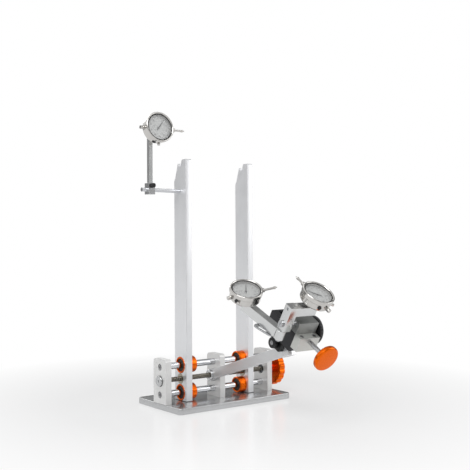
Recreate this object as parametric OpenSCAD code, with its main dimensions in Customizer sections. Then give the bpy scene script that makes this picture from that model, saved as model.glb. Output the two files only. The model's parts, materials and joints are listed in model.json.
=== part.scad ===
/* [Base] */
// Length of the base plate, along the spindle
base_l = 276; // [260:1:320]
// Depth of the base plate, front to back
base_d = 158; // [140:1:200]
// Thickness of the base plate
base_t = 12; // [10:0.5:16]
// Corner radius of the base plate
base_corner_r = 9; // [4:1:16]
// Bevel along the base plate's top and bottom edges
base_bevel = 1.2; // [0.5:0.1:2]

/* [Guide blocks] */
// Thickness of each guide block, along the spindle
block_t = 12.5; // [11:0.5:16]
// Depth of each guide block, front to back
block_d = 46; // [42:1:60]
// Height of each guide block above the base plate
block_h = 87; // [85:1:96]
// Radius of a guide block's top corners
block_r = 7; // [3:1:12]
// Middle block's centre, along the spindle
mid_block_x = -3; // [-5:1:5]
// Distance of the right block's outer face from the base plate's right end
right_inset = 11.25; // [8:0.25:14]
// Depth of each block screw's hole in its block
block_screw_depth = 10; // [8:1:14]

/* [Guide rods and spindle] */
// Diameter of the guide rods
rod_d = 13; // [10:1:14]
// Height of the lower guide rod above the base plate's top face
low_rod_h = 16.8; // [16.8:0.2:20]
// Distance between the guide rods
rod_pitch = 53.8; // [50:0.2:56]
// Distance of the mechanism's axis behind the base plate's centre line
mech_y = -8; // [-14:1:4]
// Diameter of the spindle
spindle_d = 10; // [8:0.5:12]
// Outside diameter of the spindle bearings
spindle_bearing_d = 19; // [16:1:22]
// Radius of the handwheel
wheel_r = 36; // [28:1:40]
// Thickness of the handwheel's rim
wheel_t = 14; // [10:1:18]
// Number of finger flutes round the handwheel
wheel_flutes = 16; // [10:1:20]
// Gap between the right block and the handwheel's rim
wheel_standoff = 13; // [10:1:20]

/* [Uprights] */
// Distance between the inner faces of the two uprights
upright_gap = 140; // [130:1:150]
// Middle of the gap between the two uprights, along the spindle
gap_mid_x = -6; // [-8:1:-3]
// Thickness of each upright
upright_t = 14; // [10:1:18]
// Width of each upright, front to back
upright_w = 41.4; // [38:0.2:46]
// Height of the axle seats above the base plate's underside
axle_z = 482; // [400:1:520]
// Diameter of the axle that the seats hold
axle_d = 10; // [9:0.5:12]
// Height of the front horn above the axle seat
horn_h = 9; // [6:1:14]
// Gap between an upright's foot and the base plate
foot_gap = 1.2; // [1:0.2:3]
// Outside diameter of the orange sleeves
sleeve_d = 32.4; // [30:0.2:33]
// Bore of the orange sleeves, which holds the bearings
sleeve_bore = 26; // [23:1:27]
// How far the sleeves stand out of an upright's inner face
sleeve_out = 16; // [8:1:20]
// How far the sleeves' rims stand out of an upright's outer face
sleeve_rim = 1; // [0.5:0.5:3]
// Depth of each bearing's front face inside its sleeve
bearing_recess = 2.5; // [1:0.5:4]

/* [Swing arm] */
// Angle of the swing arm above the horizontal, at rest
arm_angle = 17.3; // [12:0.1:22]
// Length of the swing arm, from the spindle's axis to its end
arm_l = 254; // [252:1:260]
// Thickness of the swing arm
arm_t = 8; // [6:0.5:10]
// Height of the swing arm's bar
arm_h = 19.5; // [16:0.5:22]
// Radius of the swing arm's hub
arm_hub_r = 13; // [12:0.5:14]
// Distance of the head's pivot from the arm's end
pivot_inset = 18.1; // [16:0.1:20]
// Height of the head's pivot above the arm's middle line
pivot_above = 17.7; // [16:0.1:22]
// Diameter of the head's pivot pin
pivot_pin_d = 8; // [6:0.5:9]

/* [Head] */
// Tilt of the head's slide from the horizontal, at rest
head_tilt = 31; // [20:1:40]
// Middle of the head's slide, along the spindle
slide_x = -13; // [-15:1:-11]
// Width of the slide and of its carriage
slide_w = 46; // [42:1:54]
// Distance from the head's pivot to the slide's front end
slide_front = 60; // [56:1:70]
// Length of the slide
slide_l = 90; // [86:1:100]
// Height of the slide's underside above the head's pivot
slide_bottom = 14; // [14:0.5:18]
// Height of the slide
slide_h = 37; // [35:1:42]
// Thickness of the slide's floor
slide_floor = 20; // [14:1:21]
// Width of the slide's channel
channel_w = 22; // [18:1:26]
// Thickness of the slide's tongue, which the end block is screwed to
tongue_t = 6; // [5:0.5:10]
// Length of the slide's end block
end_block_l = 16; // [12:1:18]
// Height of the slide's end block
end_block_h = 27; // [24:0.5:29]
// Diameter of the feed screw
feed_d = 8; // [6:0.5:9]
// Length of the feed screw that shows between the end block and the knob
feed_stem = 43; // [30:1:60]
// Radius of the feed knob
feed_knob_r = 24; // [18:1:28]
// Thickness of the feed knob
feed_knob_t = 10; // [8:1:14]
// Radius of the slide's lock knob
lock_knob_r = 26; // [18:1:28]
// Thickness of the slide's lock knob
lock_knob_t = 8; // [6:0.5:10]
// Length of the carriage
carriage_l = 40; // [34:1:44]
// Distance of the carriage's front face behind the slide's front end
carriage_back = 15; // [12:1:20]
// Thickness of the carriage's top
carriage_h = 21; // [18:1:26]

/* [Gauge supports] */
// Side of the square bar that the gauge bracket is made of
bracket_bar = 18; // [14:1:20]
// Gap between the bracket's post and the carriage
bracket_gap = 11; // [8:1:16]
// Height of the bracket's foot above the head's pivot
bracket_foot = 54.3; // [53:0.1:56]
// Height of the bracket's top above the head's pivot
bracket_top = 103; // [98:1:110]
// Length of the lateral gauge arm, from its pivot to the gauge
lateral_l = 90; // [86:1:94]
// Angle of the lateral gauge arm in its plane, at rest
lateral_angle = 10; // [6:1:14]
// Width of the lateral gauge arm
lateral_w = 16; // [15:0.5:17]
// Height of the lateral gauge arm
lateral_h = 18; // [14:1:20]
// Distance of the lateral gauge's middle from its arm
lateral_offset = 10.5; // [8:0.5:14]
// Sideways tilt of the lateral gauge's face
lateral_roll = 11; // [0:1:15]
// Angle between the lateral gauge's plunger and the spindle's direction, seen from above
lateral_yaw = -1; // [-6:1:8]
// Tilt of the radial gauge's face beyond the head's own tilt
radial_pitch = 7; // [0:1:9]
// Angle between the radial gauge's plunger and the slide's direction
radial_yaw = 6; // [0:1:10]
// Height of the centring gauge's rod above the base plate's underside
centring_rod_z = 428; // [400:1:440]
// Diameter of the centring gauge's rod
centring_rod_d = 8; // [6:0.5:10]
// Length of the centring gauge's rod outside the left upright
centring_rod_l = 87; // [80:1:110]
// Distance of the centring gauge's post from the left upright
centring_post_x = 68.5; // [60:0.5:72]
// Height of the centring gauge above its rod
centring_rise = 116; // [100:1:140]
// Tilt of the centring gauge's face upward
centring_tilt = 11; // [0:1:20]

/* [Dial gauges] */
// Outside diameter of a gauge's bezel
bezel_d = 60; // [54:1:62]
// Depth of a gauge, from its face to its back
gauge_depth = 22; // [21:0.5:26]
// Diameter of a gauge's plunger
plunger_d = 4; // [3:0.5:5]
// Distance of the plunger's axis behind the face
plunger_back = 13; // [12.5:0.5:15]
// Length of the lateral gauge's plunger, from the gauge's middle to its tip
lateral_reach = 68; // [60:1:80]
// Length of the radial gauge's plunger, from the gauge's middle to its tip
radial_reach = 58; // [56:1:80]
// Length of the centring gauge's plunger, from the gauge's middle to its tip
centring_reach = 62; // [56:1:90]
// Travel of every plunger
plunger_travel = 5; // [3:0.5:8]

/* [Clearances] */
// Radial clearance of pieces that are fixed in each other
fit_gap = 0.02; // [0.01:0.01:0.05]
// Radial clearance of pieces that turn or slide in each other
run_gap = 0.05; // [0.02:0.01:0.1]
// Gap between faces of pieces that move past each other
face_gap = 0.3; // [0.2:0.1:0.5]

/* [Hidden] */

$fn = 64;
cut = 1; // how far a cutting tool runs past a face

// Axis heights above the base plate's underside
low_z = base_t + low_rod_h;
mid_z = low_z + rod_pitch / 2;
top_z = low_z + rod_pitch;
rod_zs = [low_z, top_z];

// Guide blocks: centres along the spindle
left_block_x = -base_l / 2 + block_t / 2;
right_block_x = base_l / 2 - right_inset - block_t / 2;
block_xs = [left_block_x, mid_block_x, right_block_x];
left_face_x = left_block_x - block_t / 2;
right_face_x = right_block_x + block_t / 2;
mid_face_x = mid_block_x - block_t / 2;

// Screws
rod_screw_d = 5;
rod_screw_l = 12;
rod_screw_head_d = 8.5;
rod_screw_head_h = 3;
block_screw_d = 6;
block_screw_head_d = 10;
block_screw_head_h = 6.2;
block_screw_pitch = 28;
hex_depth = 2;

// Spindle: ends, steps and bearings
bearing_t = 6;
spindle_journal_d = spindle_d - 2;
end_cap_d = 21;
end_cap_t = 3.5;
wheel_hub_d = 20;
wheel_screw_d = 5;
wheel_face_x = right_face_x + wheel_standoff;
wheel_end_x = wheel_face_x + wheel_t;
flute_r = 6.2;

// Uprights
upright_cy = mech_y - 0.9;
upright_z0 = base_t + foot_gap;
upright_top = axle_z + horn_h;
left_upright_x = gap_mid_x - upright_gap / 2 - upright_t;
right_upright_x = gap_mid_x + upright_gap / 2;
back_y = upright_cy + upright_w / 2;
front_y = upright_cy - upright_w / 2;
seat_r = axle_d / 2 + run_gap;
shoulder_r = 12;
shoulder_drop = 24;
nut_d = 20;

// Swing arm
boss_r = 8;
boss_bore_r = spindle_d / 2 + face_gap;
arm_x1 = mid_face_x - face_gap;
arm_x0 = arm_x1 - arm_t;
collar_t = 4;
collar_r = 11;
boss_x0 = arm_x0 - collar_t - face_gap;
pivot_along = arm_l - pivot_inset;
pivot_y = mech_y - pivot_along * cos(arm_angle) + pivot_above * sin(arm_angle);
pivot_z = mid_z + pivot_along * sin(arm_angle) + pivot_above * cos(arm_angle);
end_block_r = 12;
end_block_t = 15;
clamp_w = 32;
clamp_h = 22;
clamp_t = 10;
clamp_x1 = arm_x0 - face_gap;
clamp_x0 = clamp_x1 - clamp_t;
clamp_boss_r = pivot_above - arm_h / 2 - face_gap;
knob_r = 10.5;
knob_t = 9;
knob_lobes = 12;
lock_knob_lobes = 30;
knob_x1 = clamp_x0 - face_gap;
knob_x0 = knob_x1 - knob_t;
pin_end_x = knob_x0 + 2;

// Head: distances along the slide (a) point away from the held work, heights (n) away from the arm
slide_x0 = slide_x - slide_w / 2;
slide_top = slide_bottom + slide_h;
channel_floor = slide_bottom + slide_floor;
feed_n = slide_top - 6.5;
thrust_r = 5.5;
thrust_t = 3;
slide_back = slide_front - slide_l;
end_block_a = slide_front - end_block_l;
end_block_wall = 5;
tongue_front = slide_front - end_block_wall;
carriage_front = slide_front - carriage_back;
carriage_bottom = slide_top + face_gap;
carriage_top = carriage_bottom + carriage_h;
keel_l = 24;
keel_setback = 10;
keel_front = end_block_a - keel_setback;
keel_bottom = channel_floor + face_gap;
slide_screw_d = 5;
slide_screw_head_d = 8.5;
slide_screw_pitch = 28;
slide_screw_xs = [slide_x - slide_screw_pitch / 2, slide_x + slide_screw_pitch / 2];
feed_tail = slide_back + 8;
slide_x1 = slide_x0 + slide_w;
lock_a = slide_front - slide_l / 3;
lock_n = slide_top - 5.5;
lock_stud_r = 3;
lock_stud_l = 8;
lock_knob_x0 = slide_x1 + 4;
knob_hub_d = 16;
knob_hub_l = 3;

// Gauge bracket
post_x1 = slide_x0 - bracket_gap;
post_x0 = post_x1 - bracket_bar;
bracket_a1 = carriage_front - 4;
bracket_a0 = bracket_a1 - bracket_bar;
bracket_mid_a = (bracket_a0 + bracket_a1) / 2;
bracket_leg_x = slide_x + 9;
bracket_bolt_n = bracket_foot + 12;
bracket_bolt_d = 8;
spacer_r = 6;
bolt_head_r = 6;
bolt_head_t = 3.5;
bolt_grip = 9;
set_screw_d = 6;
set_screw_n = bracket_top - 6;
bar_edge = 0.8;

// Lateral arm
lateral_px = post_x0 + 5;
lateral_top = bracket_foot - face_gap;
lateral_bottom = lateral_top - lateral_h;
lateral_root_r = 9.5;
lateral_screw_d = 6;
lateral_screw_head_d = 10;
lateral_screw_head_h = 4;
lateral_screw_in = 5;
lateral_end = 2;
lug_r = 4.5;
lug_root = 3;
lateral_lug_shift = [7.5, -5, 0];

// Dial gauges: the face is at z = 0, looking along +Z, and the plunger points along +X
bezel_r = bezel_d / 2;
case_r = bezel_r - 1.6;
bezel_bore_r = case_r + 0.12;
bezel_h = 9;
lip_t = 2;
lip_r = bezel_r - 3.4;
crystal_t = 1;
crystal_r = case_r - 0.1;
case_front = -lip_t - crystal_t - face_gap;
pit_r = case_r - 2.4;
pit_floor = -8;
dial_r = pit_r - 0.4;
dial_t = 0.8;
dial_back = pit_floor + face_gap;
dial_face = dial_back + dial_t;
dial_hole_r = 1.6;
needle_z = dial_face + 0.7;
needle_t = 0.5;
needle_tip = dial_r - 3.5;
needle_tail = 8;
needle_w = 1;
arbor_r = 0.9;
arbor_z = pit_floor - 1.8;
stem_r = 4;
stem_l = 11;
cap_r = 3.6;
cap_l = 9;
tip_r = 2.6;
tip_l = 7;
lock_r = 2.6;
lock_l = 5.5;
gauge_back = -gauge_depth;

// Places of the gauges
lateral_lug = 8;
radial_x = gap_mid_x;
radial_a = bracket_mid_a - 3.4;
radial_lug = 4;
centring_z = centring_rod_z + centring_rise;
centring_post_cx = left_upright_x - centring_post_x;
centring_gx = centring_post_cx + 7;
post_side = 8;
centring_y = mech_y;
cross_block = 18;
cross_block_w = 14;
centring_gauge_y = centring_y - post_side / 2 - 3;

// Plain box between two corners
module box(lo, hi) {
    translate(lo)
        cube([hi[0] - lo[0], hi[1] - lo[1], hi[2] - lo[2]]);
}

// Cylinder along X between two places
module rod_x(x0, x1, r, y = 0, z = 0) {
    translate([x0, y, z])
        rotate([0, 90, 0])
            cylinder(h = x1 - x0, r = r);
}

// Turns a profile of radius and length round the X axis
module turned_x(x0, points) {
    translate([x0, 0, 0])
        rotate([0, 90, 0])
            rotate_extrude()
                polygon(points);
}

// Puts its children on the mechanism's axis at a height
module at_axis(z) {
    translate([0, mech_y, z])
        children();
}

// Lays a front-to-back and height outline out to a thickness along X
module slab_x(x0, t) {
    translate([x0, 0, 0])
        rotate([90, 0, 90])
            linear_extrude(height = t)
                children();
}

// Hexagonal socket along X, opening toward -X at x0
module hex_socket_x(x0, across, depth) {
    translate([x0 - cut, 0, 0])
        rotate([0, 90, 0])
            cylinder(h = depth + cut, d = across, $fn = 6);
}

// Section of a bevelled plate
module bevelled_section(half, t, bevel) {
    polygon([
        [0, 0], [half - bevel, 0], [half, bevel],
        [half, t - bevel], [half - bevel, t], [0, t]
    ]);
}

// Rectangular plate with round corners and bevelled edges
module bevelled_plate(l, d, t, r, bevel) {
    inner_l = l / 2 - r;
    inner_d = d / 2 - r;
    for (side = [0, 1])
        mirror([side, 0, 0])
            translate([0, inner_d, 0])
                rotate([90, 0, 0])
                    linear_extrude(height = 2 * inner_d)
                        bevelled_section(l / 2, t, bevel);
    for (side = [0, 1])
        mirror([0, side, 0])
            translate([-inner_l, 0, 0])
                rotate([90, 0, 90])
                    linear_extrude(height = 2 * inner_l)
                        bevelled_section(d / 2, t, bevel);
    for (sx = [-1, 1], sy = [-1, 1])
        translate([sx * inner_l, sy * inner_d, 0])
            rotate_extrude()
                bevelled_section(r, t, bevel);
}

module base_plate() {
    color("silver")
        difference() {
            bevelled_plate(base_l, base_d, base_t, base_corner_r, base_bevel);
            for (x = block_xs, side = [-1, 1])
                translate([x, mech_y + side * block_screw_pitch / 2, 0]) {
                    translate([0, 0, -cut])
                        cylinder(h = base_t + 2 * cut, d = block_screw_d + 2 * fit_gap);
                    translate([0, 0, -cut])
                        cylinder(
                            h = cut + block_screw_head_h + 2 * fit_gap,
                            d = block_screw_head_d + 2 * fit_gap
                        );
                }
        }
}

// Outline of a guide block, front to back and up
module block_outline() {
    half = block_d / 2;
    top = base_t + block_h;
    translate([mech_y, 0]) {
        translate([-half, base_t])
            square([block_d, block_h - block_r]);
        translate([-half + block_r, base_t])
            square([block_d - 2 * block_r, block_h]);
        for (side = [-1, 1])
            translate([side * (half - block_r), top - block_r])
                circle(r = block_r);
    }
}

// Guide block with the bores for both guide rods and the spindle's bore
module guide_block(x, spindle_bore_r) {
    difference() {
        slab_x(x - block_t / 2, block_t)
            block_outline();
        for (z = rod_zs)
            at_axis(z)
                rod_x(x - block_t / 2 - cut, x + block_t / 2 + cut, rod_d / 2 + fit_gap);
        at_axis(mid_z)
            rod_x(x - block_t / 2 - cut, x + block_t / 2 + cut, spindle_bore_r);
        for (side = [-1, 1])
            translate([x, mech_y + side * block_screw_pitch / 2, base_t - cut])
                cylinder(h = block_screw_depth + cut, d = block_screw_d + 2 * fit_gap);
    }
}

module left_block() {
    color("gainsboro")
        guide_block(left_block_x, spindle_bearing_d / 2 + fit_gap);
}

module middle_block() {
    color("gainsboro")
        guide_block(mid_block_x, boss_r + fit_gap);
}

module right_block() {
    color("gainsboro")
        guide_block(right_block_x, spindle_bearing_d / 2 + fit_gap);
}

// Guide rod with a threaded hole in each end
module guide_rod(z) {
    inset = rod_screw_head_h + 1;
    difference() {
        at_axis(z)
            rod_x(left_face_x + inset, right_face_x - inset, rod_d / 2);
        at_axis(z)
            rod_x(
                left_face_x,
                left_face_x + inset + rod_screw_l,
                rod_screw_d / 2 + fit_gap
            );
        at_axis(z)
            rod_x(
                right_face_x - inset - rod_screw_l,
                right_face_x,
                rod_screw_d / 2 + fit_gap
            );
    }
}

module lower_rod() {
    color("whitesmoke")
        guide_rod(low_z);
}

module upper_rod() {
    color("whitesmoke")
        guide_rod(top_z);
}

// Cap screw along X, its head's outer face at x = 0 looking toward -X
module rod_screw() {
    inset = rod_screw_head_h + 1;
    difference() {
        union() {
            rod_x(0.5, inset, rod_screw_head_d / 2);
            rod_x(0.5, inset + rod_screw_l - 1, rod_screw_d / 2);
        }
        hex_socket_x(0.5, rod_screw_d * 0.8, hex_depth);
    }
}

module rod_screws() {
    color("dimgray")
        for (z = rod_zs)
            at_axis(z) {
                translate([left_face_x, 0, 0])
                    rod_screw();
                translate([right_face_x, 0, 0])
                    mirror([1, 0, 0])
                        rod_screw();
            }
}

module block_screws() {
    color("dimgray")
        for (x = block_xs, side = [-1, 1])
            translate([x, mech_y + side * block_screw_pitch / 2, 0])
                difference() {
                    union() {
                        translate([0, 0, 0.4])
                            cylinder(h = block_screw_head_h - 0.4, d = block_screw_head_d);
                        translate([0, 0, block_screw_head_h])
                            cylinder(
                                h = base_t + block_screw_depth - 1 - block_screw_head_h,
                                d = block_screw_d
                            );
                    }
                    translate([0, 0, -cut])
                        cylinder(h = hex_depth + 1 + cut, d = block_screw_d * 0.8, $fn = 6);
                }
}

// Ball bearing round the spindle, in a guide block
module spindle_bearing(x0) {
    at_axis(mid_z)
        difference() {
            rod_x(x0, x0 + bearing_t, spindle_bearing_d / 2);
            rod_x(x0 - cut, x0 + bearing_t + cut, spindle_journal_d / 2 + run_gap);
        }
}

module spindle_bearings() {
    color("slategray") {
        spindle_bearing(left_block_x - bearing_t / 2);
        spindle_bearing(right_block_x - bearing_t / 2);
    }
}

module arm_pivot_boss() {
    color("silver")
        at_axis(mid_z)
            difference() {
                rod_x(boss_x0, mid_block_x + block_t / 2, boss_r);
                rod_x(boss_x0 - cut, mid_block_x + block_t / 2 + cut, boss_bore_r);
            }
}

module spindle() {
    journal_in = block_t + face_gap;
    color("rosybrown")
        at_axis(mid_z)
            difference() {
                union() {
                    rod_x(left_face_x + journal_in, right_face_x - journal_in, spindle_d / 2);
                    rod_x(left_face_x - face_gap, wheel_end_x - 3, spindle_journal_d / 2);
                }
                rod_x(wheel_end_x - 3 - rod_screw_l, wheel_end_x, wheel_screw_d / 2 + fit_gap);
            }
}

module spindle_end_cap() {
    x0 = -end_cap_t;
    r = end_cap_d / 2;
    color("silver")
        at_axis(mid_z)
            difference() {
                turned_x(left_face_x - face_gap, [
                    [0, x0 + 0.4], [r - 2.4, x0 + 0.4], [r - 2.4, x0],
                    [r - 1, x0], [r, x0 + 1], [r, 0], [0, 0]
                ]);
                hex_socket_x(left_face_x - face_gap + x0 + 0.4, spindle_journal_d * 0.6, hex_depth);
            }
}

module handwheel() {
    hub_r = wheel_hub_d / 2;
    rim_r = wheel_r - 9;
    edge = 1.6;
    recess = 3;
    color("orangered")
        at_axis(mid_z)
            difference() {
                union() {
                    turned_x(wheel_face_x, [
                        [0, recess], [rim_r, recess], [rim_r + edge, 0], [wheel_r - edge, 0],
                        [wheel_r, edge], [wheel_r, wheel_t - edge], [wheel_r - edge, wheel_t],
                        [rim_r + edge, wheel_t], [rim_r, wheel_t - recess], [0, wheel_t - recess]
                    ]);
                    rod_x(right_face_x + face_gap, wheel_face_x + recess, hub_r);
                }
                for (i = [0 : wheel_flutes - 1])
                    rotate([i * 360 / wheel_flutes, 0, 0])
                        rod_x(
                            wheel_face_x - cut,
                            wheel_end_x + cut,
                            flute_r,
                            z = wheel_r + flute_r - 2.6
                        );
                rod_x(
                    right_face_x,
                    wheel_end_x + cut,
                    spindle_journal_d / 2 + fit_gap
                );
            }
}

module handwheel_screw() {
    seat_x = wheel_end_x - 3;
    color("dimgray")
        at_axis(mid_z)
            difference() {
                union() {
                    rod_x(seat_x, seat_x + 4, 7);
                    rod_x(seat_x - rod_screw_l + 1, seat_x, wheel_screw_d / 2);
                }
                mirror([1, 0, 0])
                    hex_socket_x(-seat_x - 4, wheel_screw_d * 0.8, hex_depth);
            }
}

// Outline of an upright: round back shoulder, ramp, axle seat and front horn
module upright_outline() {
    lip_y = mech_y + seat_r + 1.5;
    lip_z = axle_z + 1.5;
    shoulder_z = axle_z - shoulder_drop - shoulder_r;
    difference() {
        union() {
            translate([front_y, upright_z0])
                square([upright_w, shoulder_z - upright_z0]);
            translate([front_y, upright_z0])
                square([upright_w - shoulder_r, shoulder_z + shoulder_r - upright_z0]);
            translate([back_y - shoulder_r, shoulder_z])
                circle(r = shoulder_r);
            polygon([
                [front_y, shoulder_z], [back_y - shoulder_r, shoulder_z],
                [back_y - 4, shoulder_z + shoulder_r * 0.8], [lip_y, lip_z],
                [mech_y - seat_r, lip_z], [mech_y - seat_r - 2, upright_top - 2],
                [mech_y - seat_r - 4, upright_top], [front_y + 2, upright_top],
                [front_y, upright_top - 2]
            ]);
        }
        translate([mech_y, axle_z])
            circle(r = seat_r);
        translate([mech_y - seat_r, axle_z])
            square([2 * seat_r, 2 * horn_h]);
    }
}

// Upright with the bores for its sleeves and its spindle nut
module upright(x0) {
    difference() {
        slab_x(x0, upright_t)
            upright_outline();
        for (z = rod_zs)
            at_axis(z)
                rod_x(x0 - cut, x0 + upright_t + cut, sleeve_d / 2 + fit_gap);
        at_axis(mid_z)
            rod_x(x0 - cut, x0 + upright_t + cut, nut_d / 2 + run_gap);
    }
}

// Orange sleeve with chamfered ends, its rim at x = 0 and its long end toward +X
module sleeve() {
    l = sleeve_rim + upright_t + sleeve_out;
    r = sleeve_d / 2;
    bore = sleeve_bore / 2;
    edge = 0.8;
    turned_x(0, [
        [bore + edge, 0], [r - edge, 0], [r, edge], [r, l - edge],
        [r - edge, l], [bore + edge, l], [bore, l - edge], [bore, edge]
    ]);
}

// Linear bearing that fills a sleeve between its two recesses
module linear_bearing() {
    l = sleeve_rim + upright_t + sleeve_out;
    difference() {
        rod_x(bearing_recess, l - bearing_recess, sleeve_bore / 2 - fit_gap);
        rod_x(0, l, rod_d / 2 + run_gap);
    }
}

// Nut that the spindle drives an upright by
module spindle_nut(x0) {
    at_axis(mid_z)
        difference() {
            rod_x(x0 - 0.5, x0 + upright_t + 0.5, nut_d / 2);
            rod_x(x0 - cut, x0 + upright_t + cut, spindle_d / 2 + run_gap);
        }
}

// Puts both of its children's copies on the guide rods of the left upright
module on_left_rods() {
    for (z = rod_zs)
        at_axis(z)
            translate([left_upright_x - sleeve_rim, 0, 0])
                children();
}

// The same for the right upright, turned round
module on_right_rods() {
    for (z = rod_zs)
        at_axis(z)
            translate([right_upright_x + upright_t + sleeve_rim, 0, 0])
                mirror([1, 0, 0])
                    children();
}

module left_upright() {
    color("lightgray")
        difference() {
            upright(left_upright_x);
            translate([left_upright_x - cut, centring_y, centring_rod_z])
                rod_x(0, cut + 10, centring_rod_d / 2 + fit_gap);
        }
}

module left_sleeves() {
    color("darkorange")
        on_left_rods()
            sleeve();
}

module left_bearings() {
    color("dimgray")
        on_left_rods()
            linear_bearing();
}

module left_nut() {
    color("goldenrod")
        spindle_nut(left_upright_x);
}

module right_upright() {
    color("lightgray")
        upright(right_upright_x);
}

module right_sleeves() {
    color("darkorange")
        on_right_rods()
            sleeve();
}

module right_bearings() {
    color("dimgray")
        on_right_rods()
            linear_bearing();
}

module right_nut() {
    color("goldenrod")
        spindle_nut(right_upright_x);
}

// Turns the arm's own frame into the stand's: y runs back along the arm, z away from it
module arm_frame() {
    translate([0, mech_y, mid_z])
        rotate([-arm_angle, 0, 0])
            children();
}

module swing_arm() {
    color("lightgray")
        arm_frame()
            difference() {
                union() {
                    box([arm_x0, -arm_l, -arm_h / 2], [arm_x1, 0, arm_h / 2]);
                    rod_x(arm_x0, arm_x1, arm_hub_r);
                }
                rod_x(arm_x0 - cut, arm_x1 + cut, boss_r + run_gap);
            }
}

module arm_collar() {
    x1 = arm_x0 - face_gap;
    color("silver")
        at_axis(mid_z)
            difference() {
                turned_x(x1 - collar_t, [
                    [boss_r + fit_gap, 0], [collar_r - 1, 0], [collar_r, 1],
                    [collar_r, collar_t], [boss_r + fit_gap, collar_t]
                ]);
                translate([x1 - collar_t / 2, 0, 0])
                    cylinder(h = collar_r + cut, d = 2);
            }
}

// Block that carries the head's pivot pin beside the arm's end
module arm_end_block() {
    color("silver")
        arm_frame()
            difference() {
                union() {
                    rod_x(arm_x1, arm_x1 + end_block_t, end_block_r, y = -pivot_along, z = pivot_above);
                    box(
                        [arm_x1, -pivot_along - end_block_r, -arm_h / 2],
                        [arm_x1 + end_block_t, -pivot_along + end_block_r, pivot_above]
                    );
                }
                rod_x(
                    arm_x1 - cut, arm_x1 + end_block_t + cut, pivot_pin_d / 2 + fit_gap,
                    y = -pivot_along, z = pivot_above
                );
            }
}

// Puts its children on the head's pivot
module at_pivot() {
    translate([0, pivot_y, pivot_z])
        children();
}

module head_pivot_pin() {
    color("whitesmoke")
        at_pivot()
            rod_x(pin_end_x, arm_x1 + end_block_t, pivot_pin_d / 2);
}

module clamp_knob() {
    color("black")
        at_pivot()
            difference() {
                turned_x(knob_x0, [
                    [0, 0], [knob_r - 1.5, 0], [knob_r, 1.5],
                    [knob_r, knob_t - 3], [knob_r - 3, knob_t], [0, knob_t]
                ]);
                for (i = [0 : knob_lobes - 1])
                    rotate([i * 360 / knob_lobes, 0, 0])
                        rod_x(knob_x0 - cut, knob_x1 - 3, 2, z = knob_r + 1.2);
                rod_x(pin_end_x - face_gap, knob_x1 + cut, pivot_pin_d / 2 + run_gap);
            }
}

// Turns the head's own frame into the stand's: -y runs out along the slide, z away from it
module head_frame() {
    translate([0, pivot_y, pivot_z])
        rotate([head_tilt, 0, 0])
            children();
}

// Box in the head's frame between places along X, along the slide and above the pivot
module head_box(x0, x1, a0, a1, n0, n1) {
    box([x0, -a1, n0], [x1, -a0, n1]);
}

// Cylinder along the slide between two places
module rod_a(a0, a1, r, x, n) {
    translate([x, -a0, n])
        rotate([90, 0, 0])
            cylinder(h = a1 - a0, r = r);
}

// Cylinder along the head's height between two places
module rod_n(n0, n1, r, x, a) {
    translate([x, -a, n0])
        cylinder(h = n1 - n0, r = r);
}

module head_clamp() {
    edge = 2;
    color("black")
        head_frame()
            difference() {
                union() {
                    slab_x(clamp_x0, clamp_t)
                        polygon([
                            [-clamp_w / 2, slide_bottom], [-clamp_w / 2, -clamp_h / 2 + edge],
                            [-clamp_w / 2 + edge, -clamp_h / 2], [clamp_w / 2 - edge, -clamp_h / 2],
                            [clamp_w / 2, -clamp_h / 2 + edge], [clamp_w / 2, slide_bottom]
                        ]);
                    rod_x(clamp_x1, arm_x1 - face_gap, clamp_boss_r);
                }
                rod_x(clamp_x0 - cut, arm_x1, pivot_pin_d / 2 + run_gap);
            }
}

module slide_base() {
    color("dimgray")
        head_frame()
            difference() {
                union() {
                    head_box(
                        slide_x0 + end_block_wall, slide_x1 - end_block_wall,
                        end_block_a - cut, tongue_front - face_gap,
                        channel_floor - tongue_t, channel_floor
                    );
                    head_box(slide_x0, slide_x1, slide_back, end_block_a, slide_bottom, slide_top);
                }
                head_box(
                    slide_x - channel_w / 2, slide_x + channel_w / 2,
                    slide_back + 6, end_block_a + cut,
                    channel_floor, slide_top + cut
                );
                for (x = slide_screw_xs)
                    rod_n(
                        channel_floor - tongue_t - cut, channel_floor + cut,
                        slide_screw_d / 2 + fit_gap, x, end_block_a + end_block_l / 2
                    );
                rod_x(
                    slide_x1 - lock_stud_l - 1, slide_x1 + cut, lock_stud_r + run_gap,
                    y = -lock_a, z = lock_n
                );
            }
}

// Knob with its own stud, which locks the slide's wall from the side
module slide_lock_knob() {
    r = lock_knob_r;
    t = lock_knob_t;
    color("dimgray")
        head_frame()
            translate([0, -lock_a, lock_n])
                difference() {
                    union() {
                        turned_x(lock_knob_x0, [
                            [0, 0], [r - 1.5, 0], [r, 1.5], [r, t - 1.5], [r - 1.5, t], [0, t]
                        ]);
                        rod_x(slide_x1 + face_gap, lock_knob_x0 + 1, 2 * lock_stud_r);
                        rod_x(slide_x1 - lock_stud_l, lock_knob_x0 + 1, lock_stud_r);
                    }
                    for (i = [0 : lock_knob_lobes - 1])
                        rotate([i * 360 / lock_knob_lobes, 0, 0])
                            rod_x(lock_knob_x0 - cut, lock_knob_x0 + t + cut, 1.6, z = r + 0.9);
                }
}

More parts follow.
